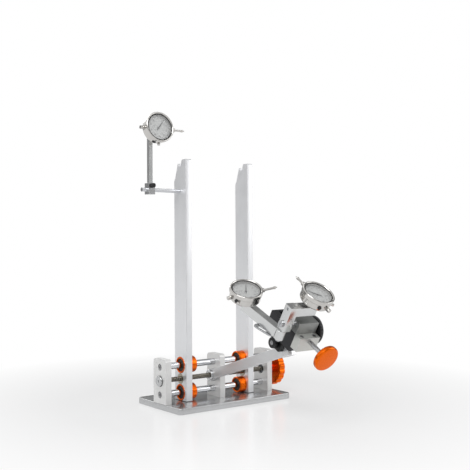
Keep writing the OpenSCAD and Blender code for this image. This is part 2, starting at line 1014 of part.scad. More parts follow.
module slide_end_block() {
    color("silver")
        head_frame()
            difference() {
                head_box(
                    slide_x0, slide_x1,
                    end_block_a, slide_front, slide_top - end_block_h, slide_top
                );
                head_box(
                    slide_x0 + end_block_wall - face_gap, slide_x1 - end_block_wall + face_gap,
                    end_block_a - cut, tongue_front,
                    channel_floor - tongue_t - face_gap, channel_floor
                );
                rod_a(
                    end_block_a - cut, slide_front + cut,
                    feed_d / 2 + run_gap, slide_x, feed_n
                );
                for (x = slide_screw_xs) {
                    rod_n(
                        channel_floor - cut, slide_top + cut,
                        slide_screw_d / 2 + fit_gap, x, end_block_a + end_block_l / 2
                    );
                    rod_n(
                        slide_top - 5, slide_top + cut,
                        slide_screw_head_d / 2 + fit_gap, x, end_block_a + end_block_l / 2
                    );
                }
            }
}

module slide_screws() {
    color("dimgray")
        head_frame()
            for (x = slide_screw_xs)
                difference() {
                    union() {
                        rod_n(
                            slide_top - 5, slide_top - 0.6,
                            slide_screw_head_d / 2, x, end_block_a + end_block_l / 2
                        );
                        rod_n(
                            channel_floor - tongue_t + 0.5, slide_top - 5,
                            slide_screw_d / 2, x, end_block_a + end_block_l / 2
                        );
                    }
                    translate([x, -end_block_a - end_block_l / 2, slide_top - 0.6 - hex_depth])
                        cylinder(h = hex_depth + cut, d = slide_screw_d * 0.9, $fn = 6);
                }
}

module feed_screw() {
    color("whitesmoke")
        head_frame() {
            rod_a(feed_tail, slide_front + feed_stem + feed_knob_t - 1, feed_d / 2, slide_x, feed_n);
            rod_a(
                end_block_a - face_gap - thrust_t, end_block_a - face_gap,
                thrust_r, slide_x, feed_n
            );
        }
}

module feed_knob() {
    r = feed_knob_r;
    t = feed_knob_t;
    color("darkorange")
        head_frame()
            translate([slide_x, -slide_front - feed_stem, feed_n])
                rotate([90, 0, 0])
                    difference() {
                        rotate_extrude()
                            polygon([
                                [0, -knob_hub_l], [knob_hub_d / 2 - 1, -knob_hub_l],
                                [knob_hub_d / 2, 1 - knob_hub_l], [knob_hub_d / 2, 0],
                                [r - 2, 0], [r, 2], [r, t - 2.6], [r - 0.8, t - 1], [r - 2.4, t - 0.2],
                                [r - 4, t], [0, t]
                            ]);
                        translate([0, 0, -knob_hub_l - cut])
                            cylinder(
                                h = knob_hub_l + cut + t - 1 + fit_gap,
                                r = feed_d / 2 + fit_gap
                            );
                    }
}

module carriage() {
    edge = 1.2;
    color("darkgray")
        head_frame()
            difference() {
                union() {
                    translate([0, -carriage_front, 0])
                        slab_y(carriage_l)
                            polygon([
                                [slide_x0, carriage_bottom], [slide_x1, carriage_bottom],
                                [slide_x1, carriage_top - edge],
                                [slide_x1 - edge, carriage_top],
                                [slide_x0 + edge, carriage_top], [slide_x0, carriage_top - edge]
                            ]);
                    head_box(
                        slide_x - channel_w / 2 + face_gap, slide_x + channel_w / 2 - face_gap,
                        keel_front - keel_l, keel_front, keel_bottom, carriage_bottom
                    );
                }
                rod_a(
                    keel_front - keel_l - cut, keel_front + cut,
                    feed_d / 2 + run_gap, slide_x, feed_n
                );
                rod_x(
                    slide_x0 - cut, slide_x0 + bolt_grip + cut, bracket_bolt_d / 2 + fit_gap,
                    y = -bracket_mid_a, z = bracket_bolt_n
                );
            }
}

// Lays an X and height outline out to a length along +Y
module slab_y(l) {
    translate([0, l, 0])
        rotate([90, 0, 0])
            linear_extrude(height = l)
                children();
}

// Square bar with bevelled edges, across the head
module bevelled_square(side) {
    polygon([
        [bar_edge, 0], [side - bar_edge, 0], [side, bar_edge], [side, side - bar_edge],
        [side - bar_edge, side], [bar_edge, side], [0, side - bar_edge], [0, bar_edge]
    ]);
}

module gauge_bracket() {
    color("lightgray")
        head_frame()
            difference() {
                union() {
                    translate([post_x0, -bracket_a1, bracket_foot])
                        linear_extrude(height = bracket_top - bracket_foot)
                            bevelled_square(bracket_bar);
                    translate([0, -bracket_a1, bracket_top - bracket_bar])
                        slab_x(post_x0 + bar_edge, bracket_leg_x - post_x0 - bar_edge)
                            bevelled_square(bracket_bar);
                    radial_seat()
                        translate([0, 0, -radial_lug - lug_root])
                            cylinder(h = radial_lug + lug_root, r = lug_r);
                }
                rod_x(
                    post_x0 - cut, post_x1 + cut, bracket_bolt_d / 2 + fit_gap,
                    y = -bracket_mid_a, z = bracket_bolt_n
                );
                rod_x(
                    post_x0 - cut, post_x0 + 8, set_screw_d / 2 + fit_gap,
                    y = -bracket_mid_a, z = set_screw_n
                );
                rod_n(
                    bracket_foot - cut, bracket_foot + lateral_screw_in + cut,
                    lateral_screw_d / 2 + fit_gap, lateral_px, bracket_mid_a
                );
            }
}

// Screws in the bracket: the bolt with its spacer, the set screw and the lateral arm's pivot screw
module bracket_screws() {
    head_n = lateral_bottom - face_gap;
    color("silver")
        head_frame() {
            difference() {
                union() {
                    rod_x(
                        post_x0 - bolt_head_t, post_x0, bolt_head_r,
                        y = -bracket_mid_a, z = bracket_bolt_n
                    );
                    rod_x(
                        post_x0 - 1, slide_x0 + bolt_grip, bracket_bolt_d / 2,
                        y = -bracket_mid_a, z = bracket_bolt_n
                    );
                    rod_x(
                        post_x1, slide_x0, spacer_r,
                        y = -bracket_mid_a, z = bracket_bolt_n
                    );
                }
                translate([0, -bracket_mid_a, bracket_bolt_n])
                    hex_socket_x(post_x0 - bolt_head_t, 5, hex_depth);
            }
            translate([0, -bracket_mid_a, set_screw_n])
                difference() {
                    rod_x(post_x0 + 0.4, post_x0 + 7, set_screw_d / 2);
                    hex_socket_x(post_x0 + 0.4, set_screw_d * 0.6, hex_depth);
                }
            difference() {
                union() {
                    rod_n(
                        head_n - lateral_screw_head_h, head_n,
                        lateral_screw_head_d / 2, lateral_px, bracket_mid_a
                    );
                    rod_n(
                        head_n - 1, bracket_foot + lateral_screw_in,
                        lateral_screw_d / 2, lateral_px, bracket_mid_a
                    );
                }
                translate([lateral_px, -bracket_mid_a, head_n - lateral_screw_head_h - cut])
                    cylinder(h = hex_depth + cut, d = lateral_screw_d * 0.8, $fn = 6);
            }
        }
}

// Turns the lateral arm's frame into the head's: -y is its pivot's side, z the head's height
module lateral_frame() {
    translate([lateral_px, -bracket_mid_a, 0])
        rotate([0, 0, lateral_angle])
            children();
}

// Middle of the lateral gauge's back, in the lateral arm's frame, with z along its face's normal
module lateral_seat() {
    translate([-lateral_offset, lateral_l, lateral_top + lateral_lug])
        rotate([0, 0, lateral_yaw - lateral_angle])
            rotate([0, -lateral_roll, 0])
                children();
}

// Middle of the radial gauge's back, in the head's frame, with z along its face's normal
module radial_seat() {
    translate([radial_x, -radial_a, bracket_top + radial_lug])
        rotate([radial_pitch, 0, 0])
            children();
}

// Middle of the centring gauge's back, with z along its face's normal
module centring_seat() {
    translate([centring_gx, centring_gauge_y, centring_z])
        rotate([90 - centring_tilt, 0, 0])
            children();
}

module lateral_arm() {
    color("lightgray")
        head_frame()
            lateral_frame()
                difference() {
                    union() {
                        rod_n(lateral_bottom, lateral_top, lateral_root_r, 0, 0);
                        box(
                            [-lateral_w / 2, 0, lateral_bottom],
                            [lateral_w / 2, lateral_l + lateral_end, lateral_top]
                        );
                        lateral_seat()
                            translate(lateral_lug_shift)
                                translate([0, 0, -lateral_lug - 2 * lug_root])
                                    cylinder(h = lateral_lug + 2 * lug_root, r = lug_r);
                    }
                    rod_n(
                        lateral_bottom - cut, lateral_top + cut,
                        lateral_screw_d / 2 + run_gap, 0, 0
                    );
                }
}

module centring_rod() {
    color("whitesmoke")
        translate([left_upright_x, centring_y, centring_rod_z])
            rod_x(-centring_rod_l, 9, centring_rod_d / 2);
}

// Block that clamps the post to the rod
module centring_clamp() {
    half = cross_block / 2;
    half_w = cross_block_w / 2;
    color("silver")
        translate([centring_post_cx, centring_y, centring_rod_z])
            difference() {
                box([-half_w, -half + 1, -half], [half_w, half - 1, half + 4]);
                rod_x(-half_w - cut, half_w + cut, centring_rod_d / 2 + run_gap);
            }
}

// Post with a pad at its top that reaches behind the gauge, and the lug that holds the gauge
module centring_post() {
    foot = cross_block / 2 + 4;
    s = post_side / 2;
    pad_h = s + 1;
    color("lightgray") {
        translate([centring_post_cx, centring_y, centring_rod_z]) {
            box([-s, -s, foot], [s, s, centring_rise + pad_h]);
            box(
                [-s, -s, centring_rise - pad_h],
                [centring_gx - centring_post_cx + lug_r + 1, s, centring_rise + pad_h]
            );
        }
        centring_seat()
            translate([0, 0, -lug_root - 3])
                cylinder(h = lug_root + 3, r = lug_r);
    }
}

// Lock screw that the post is fixed with, on the clamp's front
module centring_lock_screw() {
    y1 = -cross_block / 2 + 1;
    color("black")
        translate([centring_post_cx, centring_y, centring_rod_z])
            rotate([90, 0, 0])
                translate([0, cross_block / 2 - 1, -y1])
                    difference() {
                        cylinder(h = 7, r = 4.5);
                        for (i = [0 : 11])
                            rotate([0, 0, i * 30])
                                translate([5, 0, -cut])
                                    cylinder(h = 7 + 2 * cut, r = 0.8, $fn = 16);
                    }
}

// Places of the three gauges: face centre at the origin, plunger toward +X, face toward +Z
module at_lateral() {
    head_frame()
        lateral_frame()
            lateral_seat()
                translate([0, 0, gauge_depth])
                    children();
}

module at_radial() {
    head_frame()
        radial_seat()
            translate([0, 0, gauge_depth])
                rotate([0, 0, 90 + radial_yaw])
                    children();
}

module at_centring() {
    centring_seat()
        translate([0, 0, gauge_depth])
            children();
}

// Gauge case with its pit for the dial, its stem, end cap and lock knob
module gauge_case(lock_angle) {
    stem_end = case_r + stem_l;
    color("whitesmoke")
        difference() {
            union() {
                rotate_extrude()
                    polygon([
                        [0, gauge_back], [case_r - 3, gauge_back], [case_r - 1, gauge_back + 1],
                        [case_r, gauge_back + 3], [case_r, case_front], [0, case_front]
                    ]);
                rod_x(case_r - 4, stem_end, stem_r, z = -plunger_back);
                rod_x(-case_r - cap_l, -case_r + 4, cap_r, z = -plunger_back);
                rotate([0, 0, lock_angle])
                    rod_x(case_r - 2, case_r + lock_l, lock_r, z = -plunger_back);
            }
            translate([0, 0, pit_floor])
                cylinder(h = -pit_floor, r = pit_r);
            translate([0, 0, arbor_z - face_gap])
                cylinder(h = -arbor_z, r = arbor_r + run_gap);
            rod_x(-case_r - cap_l + 1, stem_end + cut, plunger_d / 2 + run_gap, z = -plunger_back);
        }
}

module gauge_bezel() {
    color("silver")
        rotate_extrude()
            polygon([
                [lip_r, -1.2], [lip_r + 1.2, 0], [bezel_r - 1, 0], [bezel_r, -1],
                [bezel_r, -bezel_h + 1], [bezel_r - 0.6, -bezel_h], [bezel_bore_r, -bezel_h],
                [bezel_bore_r, -lip_t], [lip_r, -lip_t]
            ]);
}

module gauge_crystal() {
    color("lightcyan", 0.35)
        translate([0, 0, -lip_t - crystal_t])
            cylinder(h = crystal_t, r = crystal_r);
}

module gauge_dial() {
    color("gainsboro")
        translate([0, 0, dial_back])
            difference() {
                cylinder(h = dial_t, r = dial_r);
                translate([0, 0, -cut])
                    cylinder(h = dial_t + 2 * cut, r = dial_hole_r);
            }
}

module gauge_needle(angle) {
    color("black")
        rotate([0, 0, angle]) {
            translate([0, 0, arbor_z])
                cylinder(h = needle_z - arbor_z, r = arbor_r);
            translate([0, 0, needle_z])
                linear_extrude(height = needle_t) {
                    polygon([
                        [-needle_tail, -needle_w / 2], [0, -needle_w], [needle_tip, -0.2],
                        [needle_tip, 0.2], [0, needle_w], [-needle_tail, needle_w / 2]
                    ]);
                    circle(r = 2, $fn = 32);
                }
        }
}

// Plunger with its contact tip; its inner end stays short of the cap by its travel
module gauge_plunger(reach) {
    inner = -case_r - cap_l + 1.5 + plunger_travel;
    color("whitesmoke")
        translate([0, 0, -plunger_back]) {
            rod_x(inner, reach - tip_l + 0.5, plunger_d / 2);
            turned_x(reach - tip_l, [
                [0, 0], [tip_r, 0], [tip_r, 3], [1.2, 5], [1.2, tip_l - 0.4], [0.8, tip_l], [0, tip_l]
            ]);
        }
}

module lateral_case() {
    at_lateral() gauge_case(215);
}

module lateral_bezel() {
    at_lateral() gauge_bezel();
}

module lateral_crystal() {
    at_lateral() gauge_crystal();
}

module lateral_dial() {
    at_lateral() gauge_dial();
}

module lateral_needle() {
    at_lateral() gauge_needle(60);
}

module lateral_plunger() {
    at_lateral() gauge_plunger(lateral_reach);
}

module radial_case() {
    at_radial() gauge_case(222);
}

module radial_bezel() {
    at_radial() gauge_bezel();
}

module radial_crystal() {
    at_radial() gauge_crystal();
}

module radial_dial() {
    at_radial() gauge_dial();
}

module radial_needle() {
    at_radial() gauge_needle(50);
}

module radial_plunger() {
    at_radial() gauge_plunger(radial_reach);
}

module centring_case() {
    at_centring() gauge_case(270);
}

module centring_bezel() {
    at_centring() gauge_bezel();
}

module centring_crystal() {
    at_centring() gauge_crystal();
}

module centring_dial() {
    at_centring() gauge_dial();
}

module centring_needle() {
    at_centring() gauge_needle(50);
}

module centring_plunger() {
    at_centring() gauge_plunger(centring_reach);
}

base_plate();
left_block();
middle_block();
right_block();
lower_rod();
upper_rod();
rod_screws();
block_screws();
spindle_bearings();
arm_pivot_boss();
spindle();
spindle_end_cap();
handwheel();
handwheel_screw();
left_upright();
left_sleeves();
left_bearings();
left_nut();
right_upright();
right_sleeves();
right_bearings();
right_nut();
swing_arm();
arm_collar();
arm_end_block();
head_pivot_pin();
clamp_knob();
head_clamp();
slide_base();
slide_end_block();
slide_screws();
feed_screw();
feed_knob();
slide_lock_knob();
carriage();
gauge_bracket();
bracket_screws();
lateral_arm();
centring_rod();
centring_clamp();
centring_post();
centring_lock_screw();
lateral_case();
lateral_bezel();
lateral_crystal();
lateral_dial();
lateral_needle();
lateral_plunger();
radial_case();
radial_bezel();
radial_crystal();
radial_dial();
radial_needle();
radial_plunger();
centring_case();
centring_bezel();
centring_crystal();
centring_dial();
centring_needle();
centring_plunger();
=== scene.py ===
import json
import math

import bmesh
import bpy
from mathutils import Matrix, Vector

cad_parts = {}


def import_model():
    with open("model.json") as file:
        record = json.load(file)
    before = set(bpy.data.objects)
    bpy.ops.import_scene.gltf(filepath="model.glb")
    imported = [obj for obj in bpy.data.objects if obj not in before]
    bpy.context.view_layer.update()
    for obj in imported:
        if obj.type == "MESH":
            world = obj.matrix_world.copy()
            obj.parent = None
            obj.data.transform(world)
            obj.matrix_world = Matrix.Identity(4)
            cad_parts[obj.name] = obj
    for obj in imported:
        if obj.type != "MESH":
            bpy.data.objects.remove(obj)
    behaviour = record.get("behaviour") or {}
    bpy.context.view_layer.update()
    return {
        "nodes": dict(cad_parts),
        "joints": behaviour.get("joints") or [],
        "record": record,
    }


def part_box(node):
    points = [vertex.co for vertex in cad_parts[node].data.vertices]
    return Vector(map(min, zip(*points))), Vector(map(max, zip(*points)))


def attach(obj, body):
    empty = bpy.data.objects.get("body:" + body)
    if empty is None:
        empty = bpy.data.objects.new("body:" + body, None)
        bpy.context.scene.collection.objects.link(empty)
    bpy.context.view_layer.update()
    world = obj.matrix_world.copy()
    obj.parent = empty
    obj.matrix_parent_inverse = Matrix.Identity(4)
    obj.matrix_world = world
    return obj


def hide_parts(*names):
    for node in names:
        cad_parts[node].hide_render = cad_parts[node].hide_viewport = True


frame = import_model()
nodes = frame["nodes"]
joints = {j["name"]: j for j in frame["joints"]}
GAUGES = ("lateral", "radial", "centring")


# ---------------------------------------------------------------- materials

def linear(r, g, b):
    """Linear colour from 0-255 display values."""
    out = []
    for v in (r, g, b):
        v /= 255
        out.append(v / 12.92 if v <= 0.04045 else ((v + 0.055) / 1.055) ** 2.4)
    return (*out, 1)


class Nodes:
    """Short-hand for building a material's node tree."""

    def __init__(self, name):
        self.material = bpy.data.materials.new(name)
        self.material.use_nodes = True
        self.tree = self.material.node_tree
        self.shader = self.tree.nodes["Principled BSDF"]
        self.coord = self.add("ShaderNodeTexCoord").outputs["Object"]

    def add(self, kind, **settings):
        node = self.tree.nodes.new(kind)
        for key, value in settings.items():
            setattr(node, key, value)
        return node

    def link(self, out, socket):
        self.tree.links.new(out, socket)

    def noise(self, scale, stretch=(1, 1, 1), detail=3):
        mapping = self.add("ShaderNodeMapping")
        mapping.inputs["Scale"].default_value = [scale * s for s in stretch]
        self.link(self.coord, mapping.inputs["Vector"])
        noise = self.add("ShaderNodeTexNoise")
        noise.inputs["Scale"].default_value = 1
        noise.inputs["Detail"].default_value = detail
        self.link(mapping.outputs["Vector"], noise.inputs["Vector"])
        return noise.outputs["Fac"]

    def spread(self, value, low, high, to_low, to_high):
        node = self.add("ShaderNodeMapRange")
        limits = {"From Min": low, "From Max": high, "To Min": to_low, "To Max": to_high}
        for key, v in limits.items():
            node.inputs[key].default_value = v
        self.link(value, node.inputs["Value"])
        return node.outputs["Result"]

    def tint(self, value, dark, light):
        ramp = self.add("ShaderNodeValToRGB")
        ramp.color_ramp.elements[0].position = 0.3
        ramp.color_ramp.elements[0].color = dark
        ramp.color_ramp.elements[1].position = 0.7
        ramp.color_ramp.elements[1].color = light
        self.link(value, ramp.inputs["Fac"])
        return ramp.outputs["Color"]

    def bump(self, height, strength, distance, edge=0.0):
        bump = self.add("ShaderNodeBump")
        bump.inputs["Strength"].default_value = strength
        bump.inputs["Distance"].default_value = distance
        self.link(height, bump.inputs["Height"])
        if edge:
            bevel = self.add("ShaderNodeBevel", samples=4)
            bevel.inputs["Radius"].default_value = edge
            self.link(bevel.outputs["Normal"], bump.inputs["Normal"])
        self.link(bump.outputs["Normal"], self.shader.inputs["Normal"])


def metal(name, colour, rough, grain=900, stretch=(1, 1, 1), bump=0.08, metallic=1.0,
          contrast=0.06, edge=0.0004):
    """Metal with fine grain, slightly mottled colour and gloss, and soft edges."""
    n = Nodes(name)
    dark = tuple(c * (1 - contrast) for c in colour[:3]) + (1,)
    light = tuple(min(1, c * (1 + contrast)) for c in colour[:3]) + (1,)
    grain_out = n.noise(grain, stretch, 4)
    cloud = n.noise(28, (1, 1, 1), 2)
    mixed = n.add("ShaderNodeMath", operation="MULTIPLY_ADD")
    n.link(grain_out, mixed.inputs[0])
    mixed.inputs[1].default_value = 0.6
    scaled = n.spread(cloud, 0.3, 0.7, 0.1, 0.3)
    n.link(scaled, mixed.inputs[2])
    n.link(n.tint(mixed.outputs[0], dark, light), n.shader.inputs["Base Color"])
    n.link(n.spread(mixed.outputs[0], 0.3, 0.7, rough * 0.85, rough * 1.15),
           n.shader.inputs["Roughness"])
    n.shader.inputs["Metallic"].default_value = metallic
    n.bump(grain_out, bump, 0.00005, edge)
    return n.material


ALONG_X = (0.03, 1, 1)
ALONG_Z = (1, 1, 0.03)
TURNED_X = (1, 0.04, 0.04)

MATERIALS = {
    "base_aluminium": metal("base_aluminium", linear(190, 191, 192), 0.24, 700, ALONG_X, 0.03,
                            metallic=0.85, contrast=0.03),
    "block_aluminium": metal("block_aluminium", linear(222, 222, 221), 0.42, 2600, bump=0.4,
                             metallic=0.55, contrast=0.07),
    "ground_chrome": metal("ground_chrome", linear(206, 207, 210), 0.1, 1500, TURNED_X, 0.02,
                           contrast=0.02, edge=0.0003),
    "screw_steel": metal("screw_steel", linear(150, 150, 152), 0.3, 1800, bump=0.1),
    "bearing_steel": metal("bearing_steel", linear(92, 94, 98), 0.3, 1500),
    "turned_aluminium": metal("turned_aluminium", linear(192, 193, 194), 0.24, 2200, TURNED_X),
    "spindle_steel": metal("spindle_steel", linear(112, 108, 100), 0.26, 1600),
    "orange_anodised": metal("orange_anodised", linear(230, 100, 7), 0.27, 1800, bump=0.05,
                             metallic=0.9, contrast=0.05),
    "upright_aluminium": metal("upright_aluminium", linear(226, 227, 229), 0.36, 1400, ALONG_Z,
                               0.06, metallic=0.6, contrast=0.03),
    "bearing_seal": metal("bearing_seal", linear(46, 33, 26), 0.5, 2400, bump=0.2, metallic=0.2),
    "nut_brass": metal("nut_brass", linear(158, 152, 138), 0.3, 1800),
    "arm_aluminium": metal("arm_aluminium", linear(216, 217, 218), 0.4, 2400, bump=0.03,
                           metallic=0.65, contrast=0.02),
    "black_anodised": metal("black_anodised", linear(24, 24, 25), 0.42, 2600, bump=0.3,
                            metallic=0.3, contrast=0.25),
    "slide_steel": metal("slide_steel", linear(48, 48, 50), 0.36, 2200, bump=0.25,
                         metallic=0.6, contrast=0.18),
    "end_block_aluminium": metal("end_block_aluminium", linear(196, 197, 193), 0.36, 1600,
                                 metallic=0.75),
    "feed_steel": metal("feed_steel", linear(190, 190, 192), 0.13, 1500, bump=0.03),
    "carriage_steel": metal("carriage_steel", linear(142, 144, 142), 0.36, 2000, bump=0.12,
                            metallic=0.7, contrast=0.08),
    "bracket_aluminium": metal("bracket_aluminium", linear(206, 207, 207), 0.24, 1900, bump=0.03,
                               contrast=0.03),
    "bracket_screw_steel": metal("bracket_screw_steel", linear(176, 177, 179), 0.22, 1500),
    "gauge_chrome": metal("gauge_chrome", linear(196, 194, 191), 0.1, 1900, bump=0.02,
                          contrast=0.04),
    "needle_enamel": metal("needle_enamel", linear(30, 30, 32), 0.4, 2000, metallic=0.0, edge=0),
    "dial_enamel": metal("dial_enamel", linear(184, 185, 184), 0.5, 2600, bump=0.05,
                         metallic=0.1, contrast=0.03, edge=0),
}


def glass():
    n = Nodes("gauge_glass")
    s = n.shader
    tint = n.tint(n.noise(60), (0.86, 0.87, 0.87, 1), (0.93, 0.94, 0.94, 1))
    n.link(tint, s.inputs["Base Color"])
    n.link(n.spread(n.noise(200), 0.3, 0.7, 0.03, 0.06), s.inputs["Roughness"])
    s.inputs["IOR"].default_value = 1.5
    s.inputs["Alpha"].default_value = 0.1
    return n.material


MATERIALS["gauge_glass"] = glass()
INK = metal("dial_ink", linear(52, 52, 54), 0.5, 2600, bump=0.02, metallic=0.0, edge=0)
RUBBER = metal("dark_rubber", linear(22, 22, 23), 0.55, 2600, bump=0.4, metallic=0.0, edge=0)

for part in frame["record"]["subparts"]:
    obj = nodes[part["node"]]
    obj.data.materials.clear()
    obj.data.materials.append(MATERIALS[part["material_slot"]])


# ---------------------------------------------------------------- mesh helpers

def piece(name, bm, material, body, matrix=None, smooth=40):
    """Makes an object of a bmesh, smooth below an angle, and lets it ride on a body."""
    if matrix is not None:
        bmesh.ops.transform(bm, matrix=matrix, verts=bm.verts)
    bmesh.ops.recalc_face_normals(bm, faces=bm.faces)
    limit = math.radians(smooth)
    for e in bm.edges:
        e.smooth = len(e.link_faces) == 2 and e.calc_face_angle(0) < limit
    for f in bm.faces:
        f.smooth = True
    mesh = bpy.data.meshes.new(name)
    bm.to_mesh(mesh)
    bm.free()
    mesh.materials.append(material)
    obj = bpy.data.objects.new(name, mesh)
    bpy.context.scene.collection.objects.link(obj)
    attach(obj, body)
    return obj


def lathe(profile, steps=64, bm=None):
    """Turns (radius, z) points round the Z axis. A point on the axis closes that end."""
    bm = bm or bmesh.new()
    rings = []
    for r, z in profile:
        if r < 1e-7:
            rings.append([bm.verts.new((0, 0, z))])
        else:
            rings.append([
                bm.verts.new((r * math.cos(a), r * math.sin(a), z))
                for a in (2 * math.pi * i / steps for i in range(steps))
            ])
    for a, b in zip(rings, rings[1:]):
        for i in range(steps):
            j = (i + 1) % steps
            quad = [a[i % len(a)], a[j % len(a)], b[j % len(b)], b[i % len(b)]]
            corners = list(dict.fromkeys(quad))
            if len(corners) > 2:
                bm.faces.new(corners)
    return bm


def bar(bm, x0, x1, y0, y1, z0, z1, angle=0.0):
    """Box between two corners, turned about Z."""
    made = bmesh.ops.create_cube(bm, size=1)["verts"]
    m = (Matrix.Rotation(angle, 4, "Z")
         @ Matrix.Translation(((x0 + x1) / 2, (y0 + y1) / 2, (z0 + z1) / 2))
         @ Matrix.Diagonal((x1 - x0, y1 - y0, z1 - z0, 1)))
    bmesh.ops.transform(bm, matrix=m, verts=made)
    return made


def frame_of(origin, z, x):
    """Matrix that carries a piece's own frame to a place and two directions."""
    z = Vector(z).normalized()
    x = (Vector(x) - Vector(x).dot(z) * z).normalized()
    y = z.cross(x)
    m = Matrix((x, y, z)).transposed().to_4x4()
    m.translation = Vector(origin)
    return m


# ---------------------------------------------------------------- machined edges

EDGES_MM = {
    "base_plate": 1.2, "left_block": 0.8, "middle_block": 0.8, "right_block": 0.8,
    "left_upright": 0.7, "right_upright": 0.7, "left_sleeves": 0.8, "right_sleeves": 0.8,
    "handwheel": 0.8, "feed_knob": 1.0, "swing_arm": 0.9, "arm_end_block": 0.6,
    "head_clamp": 0.6, "clamp_knob": 0.5, "slide_base": 0.5, "slide_end_block": 0.7,
    "slide_lock_knob": 0.5, "carriage": 0.7, "gauge_bracket": 0.7, "lateral_arm": 0.7,
    "centring_clamp": 0.5, "centring_post": 0.6, "spindle_end_cap": 0.4, "arm_pivot_boss": 0.5,
    "lateral_case": 0.5, "radial_case": 0.5, "centring_case": 0.5,
    "lateral_bezel": 0.35, "radial_bezel": 0.35, "centring_bezel": 0.35,
}
body_of_node = {n: body for body, members in frame["record"]["behaviour"]["bodies"].items()
                for n in members}


def machined(node, width):
    """Replaces a CAD node with the same shape, its outer edges broken by a small bevel."""
    bm = bmesh.new()
    bm.from_mesh(nodes[node].data)
    bmesh.ops.remove_doubles(bm, verts=bm.verts, dist=1e-6)
    bmesh.ops.dissolve_limit(bm, angle_limit=math.radians(0.5), verts=bm.verts, edges=bm.edges)
    bmesh.ops.recalc_face_normals(bm, faces=bm.faces)
    outer = [e for e in bm.edges
             if len(e.link_faces) == 2 and e.calc_face_angle_signed(0) > math.radians(35)]
    bmesh.ops.bevel(bm, geom=outer, offset=width / 1000, segments=2, profile=0.5,
                    affect="EDGES", clamp_overlap=True)
    part = next(p for p in frame["record"]["subparts"] if p["node"] == node)
    obj = piece(node + "_edged", bm, MATERIALS[part["material_slot"]], body_of_node[node],
                smooth=21)
    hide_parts(node)


for node, width in EDGES_MM.items():
    machined(node, width)

# Gauge frames: face centre at the origin, face looking along +Z, plunger toward +X
GAUGE_FRAMES = {}
for g in GAUGES:
    face = joints[g + "_bezel_turn"]
    slide = joints[g + "_plunger_slide"]
    GAUGE_FRAMES[g] = frame_of(face["pos_m"], face["axis"], [-v for v in slide["axis"]])

# ---------------------------------------------------------------- dial gauges

DIAL_Z = -0.0069
DIAL_R = 0.0256


def numeral(bm, text, size, x, y, z):
    """Adds a flat number, centred, to a mesh."""
    curve = bpy.data.curves.new("numeral", "FONT")
    curve.body = text
    curve.size = size
    curve.align_x = "CENTER"
    curve.align_y = "CENTER"
    curve.resolution_u = 2
    obj = bpy.data.objects.new("numeral", curve)
    mesh = bpy.data.meshes.new_from_object(obj)
    mesh.transform(Matrix.Translation((x, y, z)))
    bm.from_mesh(mesh)
    bpy.data.objects.remove(obj)
    bpy.data.curves.remove(curve)
    bpy.data.meshes.remove(mesh)


def ring(bm, inner, outer, z0, z1, steps=64, x=0.0, y=0.0):
    """Adds a flat ring of rectangular section."""
    old = set(bm.verts)
    lathe([(inner, z0), (outer, z0), (outer, z1), (inner, z1), (inner, z0)], steps, bm)
    new = [v for v in bm.verts if v not in old]
    bmesh.ops.translate(bm, vec=(x, y, 0), verts=new)


def graduations(bm, count, inner, outer, z, x=0.0, y=0.0, every=10, mid=5, width=0.0001):
    for i in range(count):
        long = 0.45 if i % every == 0 else 0.2 if i % mid == 0 else 0.0
        r0 = inner - long * (outer - inner) * 2
        half = width * (1.7 if i % every == 0 else 1)
        made = bar(bm, r0, outer, -half, half, z, z + 0.00006, 2 * math.pi * i / count)
        bmesh.ops.translate(bm, vec=(x, y, 0), verts=made)


def dial_print(g):
    """Graduations, numbers and the small turn counter, just above the dial."""
    z = DIAL_Z + 0.00004
    bm = bmesh.new()
    graduations(bm, 100, DIAL_R - 0.0034, DIAL_R - 0.0010, z)
    for i in range(10):
        a = math.pi / 2 - 2 * math.pi * i / 10
        r = DIAL_R - 0.0083
        numeral(bm, str(10 * i), 0.0038, r * math.cos(a), r * math.sin(a), z + 0.00004)
    graduations(bm, 10, 0.0042, 0.0052, z, x=-0.0085, every=5, mid=1, width=0.00012)
    ring(bm, 0.0053, 0.0055, z, z + 0.00006, x=-0.0085)
    bar(bm, -0.0087, -0.0083, -0.0010, 0.0040, z + 0.00008, z + 0.00016)
    piece(g + "_dial_print", bm, INK, g + "_bezel", upright_frame(g))


def upright_frame(g):
    """A gauge's frame with its dial's zero at the top, where its lug is."""
    return GAUGE_FRAMES[g] @ Matrix.Rotation(math.radians(DIAL_TURN[g]), 4, "Z")


def case_screw(g):
    """Small knurled screw at the side of the case that holds the bezel."""
    steps, r, length, edge, ridge = 40, 0.0034, 0.0030, 0.0004, 0.0003
    angles = [2 * math.pi * i / steps for i in range(steps)]
    bm = bmesh.new()
    rings = [[bm.verts.new((0, 0, 0))]]
    for x, radius in ((0, r), (length - edge, r), (length, r - 0.0005)):
        rings.append([
            bm.verts.new((x, (radius + ridge * (i % 2)) * math.cos(a),
                          (radius + ridge * (i % 2)) * math.sin(a)))
            for i, a in enumerate(angles)])
    rings.append([bm.verts.new((length, 0, 0))])
    for p, q in zip(rings, rings[1:]):
        for i in range(steps):
            j = (i + 1) % steps
            quad = (p[i % len(p)], p[j % len(p)], q[j % len(q)], q[i % len(q)])
            bm.faces.new(list(dict.fromkeys(quad)))
    place = (GAUGE_FRAMES[g] @ Matrix.Rotation(math.radians(SCREW_TURN[g]), 4, "Z")
             @ Matrix.Translation((SCREW_START, 0, SCREW_Z)))
    piece(g + "_case_screw", bm, MATERIALS["slide_steel"], body_of_node[g + "_case"],
          place, smooth=10)


def gasket(g):
    """Dark ring between the bezel's lip and the crystal."""
    bm = bmesh.new()
    lathe([(0.0249, -0.00195), (0.0266, -0.00195), (0.0266, -0.0015), (0.0261, -0.0013),
           (0.0253, -0.0016), (0.0249, -0.00195)], 96, bm)
    piece(g + "_gasket", bm, RUBBER, g + "_bezel", GAUGE_FRAMES[g])


